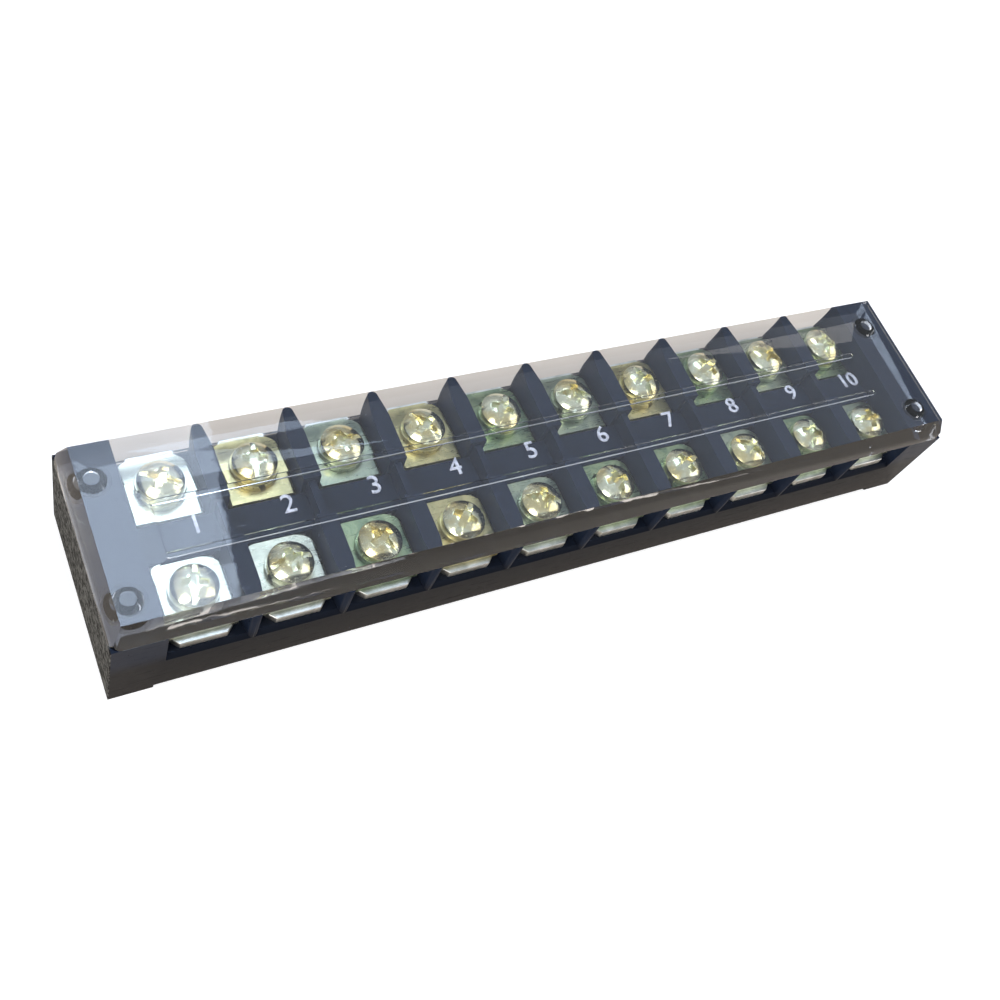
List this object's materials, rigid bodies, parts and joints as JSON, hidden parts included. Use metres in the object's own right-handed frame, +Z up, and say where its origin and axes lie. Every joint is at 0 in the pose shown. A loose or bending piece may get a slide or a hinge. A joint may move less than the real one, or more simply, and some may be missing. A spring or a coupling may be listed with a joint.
{
  "type": "barrier terminal strip",
  "caption": "Double-row barrier terminal strip: black moulded base, bridging conductors, screw clamps between barriers and a clear lift-off cover with corner pegs.",
  "frame": {"origin": "middle of the underside, on the plane of the four corner feet", "axes": "+X along the strip to position 10, +Y to the back row, +Z up out of the cover"},
  "size_m": [0.108, 0.022, 0.0152],
  "materials": {
    "housing": "glossy black moulded plastic",
    "cover": "clear moulded plastic",
    "conductor": "bright tin plating on brass",
    "clamp": "yellow zinc plating on steel",
    "screw": "yellow zinc plating on steel"
  },
  "bodies": {
    "base": {"base_housing": "housing", "conductor_01": "conductor", "conductor_02": "conductor", "conductor_03": "conductor", "conductor_04": "conductor", "conductor_05": "conductor", "conductor_06": "conductor", "conductor_07": "conductor", "conductor_08": "conductor", "conductor_09": "conductor", "conductor_10": "conductor"},
    "cover": {"clear_cover": "cover"},
    "clamp_front_01": {"clamp_front_01": "clamp"},
    "screw_front_01": {"screw_front_01": "screw"},
    "clamp_front_02": {"clamp_front_02": "clamp"},
    "screw_front_02": {"screw_front_02": "screw"},
    "clamp_front_03": {"clamp_front_03": "clamp"},
    "screw_front_03": {"screw_front_03": "screw"},
    "clamp_front_04": {"clamp_front_04": "clamp"},
    "screw_front_04": {"screw_front_04": "screw"},
    "clamp_front_05": {"clamp_front_05": "clamp"},
    "screw_front_05": {"screw_front_05": "screw"},
    "clamp_front_06": {"clamp_front_06": "clamp"},
    "screw_front_06": {"screw_front_06": "screw"},
    "clamp_front_07": {"clamp_front_07": "clamp"},
    "screw_front_07": {"screw_front_07": "screw"},
    "clamp_front_08": {"clamp_front_08": "clamp"},
    "screw_front_08": {"screw_front_08": "screw"},
    "clamp_front_09": {"clamp_front_09": "clamp"},
    "screw_front_09": {"screw_front_09": "screw"},
    "clamp_front_10": {"clamp_front_10": "clamp"},
    "screw_front_10": {"screw_front_10": "screw"},
    "clamp_back_01": {"clamp_back_01": "clamp"},
    "screw_back_01": {"screw_back_01": "screw"},
    "clamp_back_02": {"clamp_back_02": "clamp"},
    "screw_back_02": {"screw_back_02": "screw"},
    "clamp_back_03": {"clamp_back_03": "clamp"},
    "screw_back_03": {"screw_back_03": "screw"},
    "clamp_back_04": {"clamp_back_04": "clamp"},
    "screw_back_04": {"screw_back_04": "screw"},
    "clamp_back_05": {"clamp_back_05": "clamp"},
    "screw_back_05": {"screw_back_05": "screw"},
    "clamp_back_06": {"clamp_back_06": "clamp"},
    "screw_back_06": {"screw_back_06": "screw"},
    "clamp_back_07": {"clamp_back_07": "clamp"},
    "screw_back_07": {"screw_back_07": "screw"},
    "clamp_back_08": {"clamp_back_08": "clamp"},
    "screw_back_08": {"screw_back_08": "screw"},
    "clamp_back_09": {"clamp_back_09": "clamp"},
    "screw_back_09": {"screw_back_09": "screw"},
    "clamp_back_10": {"clamp_back_10": "clamp"},
    "screw_back_10": {"screw_back_10": "screw"}
  },
  "joints": [
    {"name": "cover_lift", "type": "slide", "parent": "base", "child": "cover", "axis": [0, 0, 1], "range_m": [0, 0.006]},
    {"name": "lift_front_01", "type": "slide", "parent": "base", "child": "clamp_front_01", "axis": [0, 0, 1], "range_m": [0, 0.0005]},
    {"name": "turn_front_01", "type": "hinge", "parent": "clamp_front_01", "child": "screw_front_01", "pos_m": [-0.04455, -0.00605, 0.0095], "axis": [0, 0, 1], "range_deg": [0, 360]},
    {"name": "lift_front_02", "type": "slide", "parent": "base", "child": "clamp_front_02", "axis": [0, 0, 1], "range_m": [0, 0.0005]},
    {"name": "turn_front_02", "type": "hinge", "parent": "clamp_front_02", "child": "screw_front_02", "pos_m": [-0.03465, -0.00605, 0.0095], "axis": [0, 0, 1], "range_deg": [0, 360]},
    {"name": "lift_front_03", "type": "slide", "parent": "base", "child": "clamp_front_03", "axis": [0, 0, 1], "range_m": [0, 0.0005]},
    {"name": "turn_front_03", "type": "hinge", "parent": "clamp_front_03", "child": "screw_front_03", "pos_m": [-0.02475, -0.00605, 0.0095], "axis": [0, 0, 1], "range_deg": [0, 360]},
    {"name": "lift_front_04", "type": "slide", "parent": "base", "child": "clamp_front_04", "axis": [0, 0, 1], "range_m": [0, 0.0005]},
    {"name": "turn_front_04", "type": "hinge", "parent": "clamp_front_04", "child": "screw_front_04", "pos_m": [-0.01485, -0.00605, 0.0095], "axis": [0, 0, 1], "range_deg": [0, 360]},
    {"name": "lift_front_05", "type": "slide", "parent": "base", "child": "clamp_front_05", "axis": [0, 0, 1], "range_m": [0, 0.0005]},
    {"name": "turn_front_05", "type": "hinge", "parent": "clamp_front_05", "child": "screw_front_05", "pos_m": [-0.00495, -0.00605, 0.0095], "axis": [0, 0, 1], "range_deg": [0, 360]},
    {"name": "lift_front_06", "type": "slide", "parent": "base", "child": "clamp_front_06", "axis": [0, 0, 1], "range_m": [0, 0.0005]},
    {"name": "turn_front_06", "type": "hinge", "parent": "clamp_front_06", "child": "screw_front_06", "pos_m": [0.00495, -0.00605, 0.0095], "axis": [0, 0, 1], "range_deg": [0, 360]},
    {"name": "lift_front_07", "type": "slide", "parent": "base", "child": "clamp_front_07", "axis": [0, 0, 1], "range_m": [0, 0.0005]},
    {"name": "turn_front_07", "type": "hinge", "parent": "clamp_front_07", "child": "screw_front_07", "pos_m": [0.01485, -0.00605, 0.0095], "axis": [0, 0, 1], "range_deg": [0, 360]},
    {"name": "lift_front_08", "type": "slide", "parent": "base", "child": "clamp_front_08", "axis": [0, 0, 1], "range_m": [0, 0.0005]},
    {"name": "turn_front_08", "type": "hinge", "parent": "clamp_front_08", "child": "screw_front_08", "pos_m": [0.02475, -0.00605, 0.0095], "axis": [0, 0, 1], "range_deg": [0, 360]},
    {"name": "lift_front_09", "type": "slide", "parent": "base", "child": "clamp_front_09", "axis": [0, 0, 1], "range_m": [0, 0.0005]},
    {"name": "turn_front_09", "type": "hinge", "parent": "clamp_front_09", "child": "screw_front_09", "pos_m": [0.03465, -0.00605, 0.0095], "axis": [0, 0, 1], "range_deg": [0, 360]},
    {"name": "lift_front_10", "type": "slide", "parent": "base", "child": "clamp_front_10", "axis": [0, 0, 1], "range_m": [0, 0.0005]},
    {"name": "turn_front_10", "type": "hinge", "parent": "clamp_front_10", "child": "screw_front_10", "pos_m": [0.04455, -0.00605, 0.0095], "axis": [0, 0, 1], "range_deg": [0, 360]},
    {"name": "lift_back_01", "type": "slide", "parent": "base", "child": "clamp_back_01", "axis": [0, 0, 1], "range_m": [0, 0.0005]},
    {"name": "turn_back_01", "type": "hinge", "parent": "clamp_back_01", "child": "screw_back_01", "pos_m": [-0.04455, 0.00605, 0.0095], "axis": [0, 0, 1], "range_deg": [0, 360]},
    {"name": "lift_back_02", "type": "slide", "parent": "base", "child": "clamp_back_02", "axis": [0, 0, 1], "range_m": [0, 0.0005]},
    {"name": "turn_back_02", "type": "hinge", "parent": "clamp_back_02", "child": "screw_back_02", "pos_m": [-0.03465, 0.00605, 0.0095], "axis": [0, 0, 1], "range_deg": [0, 360]},
    {"name": "lift_back_03", "type": "slide", "parent": "base", "child": "clamp_back_03", "axis": [0, 0, 1], "range_m": [0, 0.0005]},
    {"name": "turn_back_03", "type": "hinge", "parent": "clamp_back_03", "child": "screw_back_03", "pos_m": [-0.02475, 0.00605, 0.0095], "axis": [0, 0, 1], "range_deg": [0, 360]},
    {"name": "lift_back_04", "type": "slide", "parent": "base", "child": "clamp_back_04", "axis": [0, 0, 1], "range_m": [0, 0.0005]},
    {"name": "turn_back_04", "type": "hinge", "parent": "clamp_back_04", "child": "screw_back_04", "pos_m": [-0.01485, 0.00605, 0.0095], "axis": [0, 0, 1], "range_deg": [0, 360]},
    {"name": "lift_back_05", "type": "slide", "parent": "base", "child": "clamp_back_05", "axis": [0, 0, 1], "range_m": [0, 0.0005]},
    {"name": "turn_back_05", "type": "hinge", "parent": "clamp_back_05", "child": "screw_back_05", "pos_m": [-0.00495, 0.00605, 0.0095], "axis": [0, 0, 1], "range_deg": [0, 360]},
    {"name": "lift_back_06", "type": "slide", "parent": "base", "child": "clamp_back_06", "axis": [0, 0, 1], "range_m": [0, 0.0005]},
    {"name": "turn_back_06", "type": "hinge", "parent": "clamp_back_06", "child": "screw_back_06", "pos_m": [0.00495, 0.00605, 0.0095], "axis": [0, 0, 1], "range_deg": [0, 360]},
    {"name": "lift_back_07", "type": "slide", "parent": "base", "child": "clamp_back_07", "axis": [0, 0, 1], "range_m": [0, 0.0005]},
    {"name": "turn_back_07", "type": "hinge", "parent": "clamp_back_07", "child": "screw_back_07", "pos_m": [0.01485, 0.00605, 0.0095], "axis": [0, 0, 1], "range_deg": [0, 360]},
    {"name": "lift_back_08", "type": "slide", "parent": "base", "child": "clamp_back_08", "axis": [0, 0, 1], "range_m": [0, 0.0005]},
    {"name": "turn_back_08", "type": "hinge", "parent": "clamp_back_08", "child": "screw_back_08", "pos_m": [0.02475, 0.00605, 0.0095], "axis": [0, 0, 1], "range_deg": [0, 360]},
    {"name": "lift_back_09", "type": "slide", "parent": "base", "child": "clamp_back_09", "axis": [0, 0, 1], "range_m": [0, 0.0005]},
    {"name": "turn_back_09", "type": "hinge", "parent": "clamp_back_09", "child": "screw_back_09", "pos_m": [0.03465, 0.00605, 0.0095], "axis": [0, 0, 1], "range_deg": [0, 360]},
    {"name": "lift_back_10", "type": "slide", "parent": "base", "child": "clamp_back_10", "axis": [0, 0, 1], "range_m": [0, 0.0005]},
    {"name": "turn_back_10", "type": "hinge", "parent": "clamp_back_10", "child": "screw_back_10", "pos_m": [0.04455, 0.00605, 0.0095], "axis": [0, 0, 1], "range_deg": [0, 360]}
  ],
  "couplings": [
    {"joint": "turn_front_01", "follows": "lift_front_01", "rad_per_m": 12566},
    {"joint": "turn_front_02", "follows": "lift_front_02", "rad_per_m": 12566},
    {"joint": "turn_front_03", "follows": "lift_front_03", "rad_per_m": 12566},
    {"joint": "turn_front_04", "follows": "lift_front_04", "rad_per_m": 12566},
    {"joint": "turn_front_05", "follows": "lift_front_05", "rad_per_m": 12566},
    {"joint": "turn_front_06", "follows": "lift_front_06", "rad_per_m": 12566},
    {"joint": "turn_front_07", "follows": "lift_front_07", "rad_per_m": 12566},
    {"joint": "turn_front_08", "follows": "lift_front_08", "rad_per_m": 12566},
    {"joint": "turn_front_09", "follows": "lift_front_09", "rad_per_m": 12566},
    {"joint": "turn_front_10", "follows": "lift_front_10", "rad_per_m": 12566},
    {"joint": "turn_back_01", "follows": "lift_back_01", "rad_per_m": 12566},
    {"joint": "turn_back_02", "follows": "lift_back_02", "rad_per_m": 12566},
    {"joint": "turn_back_03", "follows": "lift_back_03", "rad_per_m": 12566},
    {"joint": "turn_back_04", "follows": "lift_back_04", "rad_per_m": 12566},
    {"joint": "turn_back_05", "follows": "lift_back_05", "rad_per_m": 12566},
    {"joint": "turn_back_06", "follows": "lift_back_06", "rad_per_m": 12566},
    {"joint": "turn_back_07", "follows": "lift_back_07", "rad_per_m": 12566},
    {"joint": "turn_back_08", "follows": "lift_back_08", "rad_per_m": 12566},
    {"joint": "turn_back_09", "follows": "lift_back_09", "rad_per_m": 12566},
    {"joint": "turn_back_10", "follows": "lift_back_10", "rad_per_m": 12566}
  ]
}
